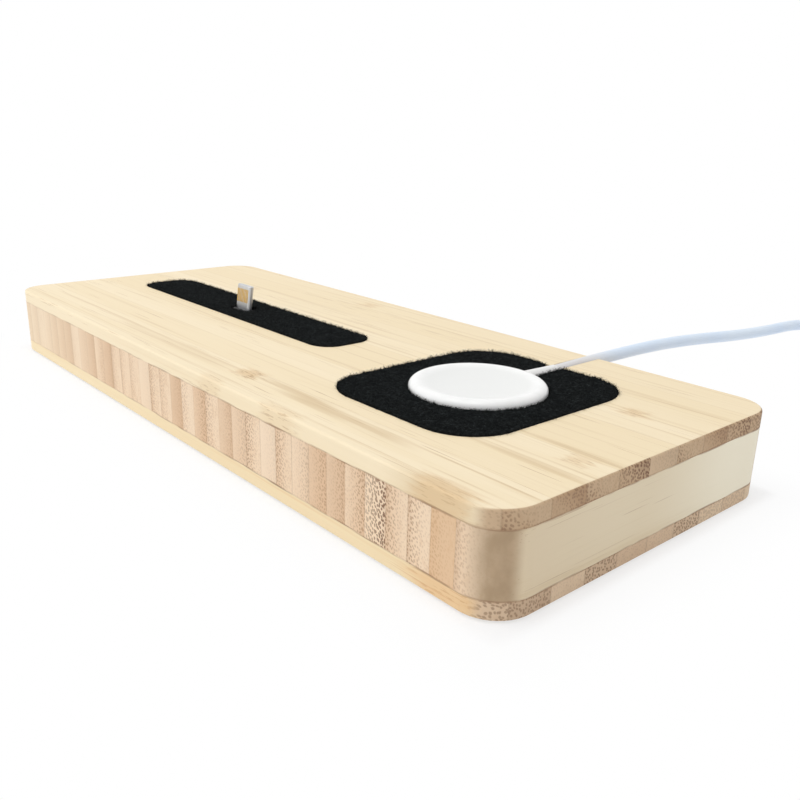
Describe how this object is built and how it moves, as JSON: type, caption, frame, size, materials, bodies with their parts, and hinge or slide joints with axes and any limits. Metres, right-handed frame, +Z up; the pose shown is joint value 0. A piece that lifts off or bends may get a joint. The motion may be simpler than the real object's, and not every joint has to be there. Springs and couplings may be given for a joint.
{
  "type": "charging station organizer",
  "caption": "Low rectangular bamboo charging dock with felt inlays, a round watch charging disc on its own lead and an upright phone connector.",
  "frame": {"origin": "centre of the board's outline, on the table that the rubber feet stand on", "axes": "+X along the board's length from the phone dock to the watch dock, +Y to the back where the lead leaves, +Z up"},
  "size_m": [0.2324, 0.1865, 0.0248],
  "materials": {
    "top_bamboo": "long-grain bamboo, satin",
    "core_bamboo": "cross-laid bamboo with end grain to the front, satin",
    "bottom_bamboo": "long-grain bamboo, satin",
    "foot_rubber": "matte",
    "black_felt": "pressed wool felt, fuzzy at its edges",
    "white_gloss_plastic": "gloss",
    "white_matte_plastic": "matte",
    "circuit_laminate": "solder-masked laminate",
    "ferrite": "sintered, matte",
    "copper_wire": "enamelled copper",
    "plated_magnet": "nickel plated",
    "collar_plastic": "satin elastomer",
    "cord_jacket": "satin elastomer",
    "bright_steel": "bright",
    "gold_contact": "gold plated",
    "black_plastic": "fine matte",
    "screw_steel": "zinc plated"
  },
  "bodies": {
    "root": {"top_ply": "top_bamboo", "core_ply": "core_bamboo", "bottom_ply": "bottom_bamboo", "rubber_feet": "foot_rubber", "watch_felt": "black_felt", "phone_felt": "black_felt", "disc_cover": "white_gloss_plastic", "disc_base": "white_gloss_plastic", "circuit_board": "circuit_laminate", "ferrite_disc": "ferrite", "charging_winding": "copper_wire", "disc_magnet": "plated_magnet", "cord_collar": "collar_plastic", "charging_cord": "cord_jacket", "cord_coil": "cord_jacket", "plug_body": "white_gloss_plastic", "plug_shell": "bright_steel", "plug_tongue": "white_matte_plastic", "plug_contacts": "gold_contact", "connector_body": "black_plastic", "connector_tip": "bright_steel", "connector_pads": "gold_contact", "connector_holder": "black_plastic", "holder_screws": "screw_steel"}
  },
  "joints": []
}
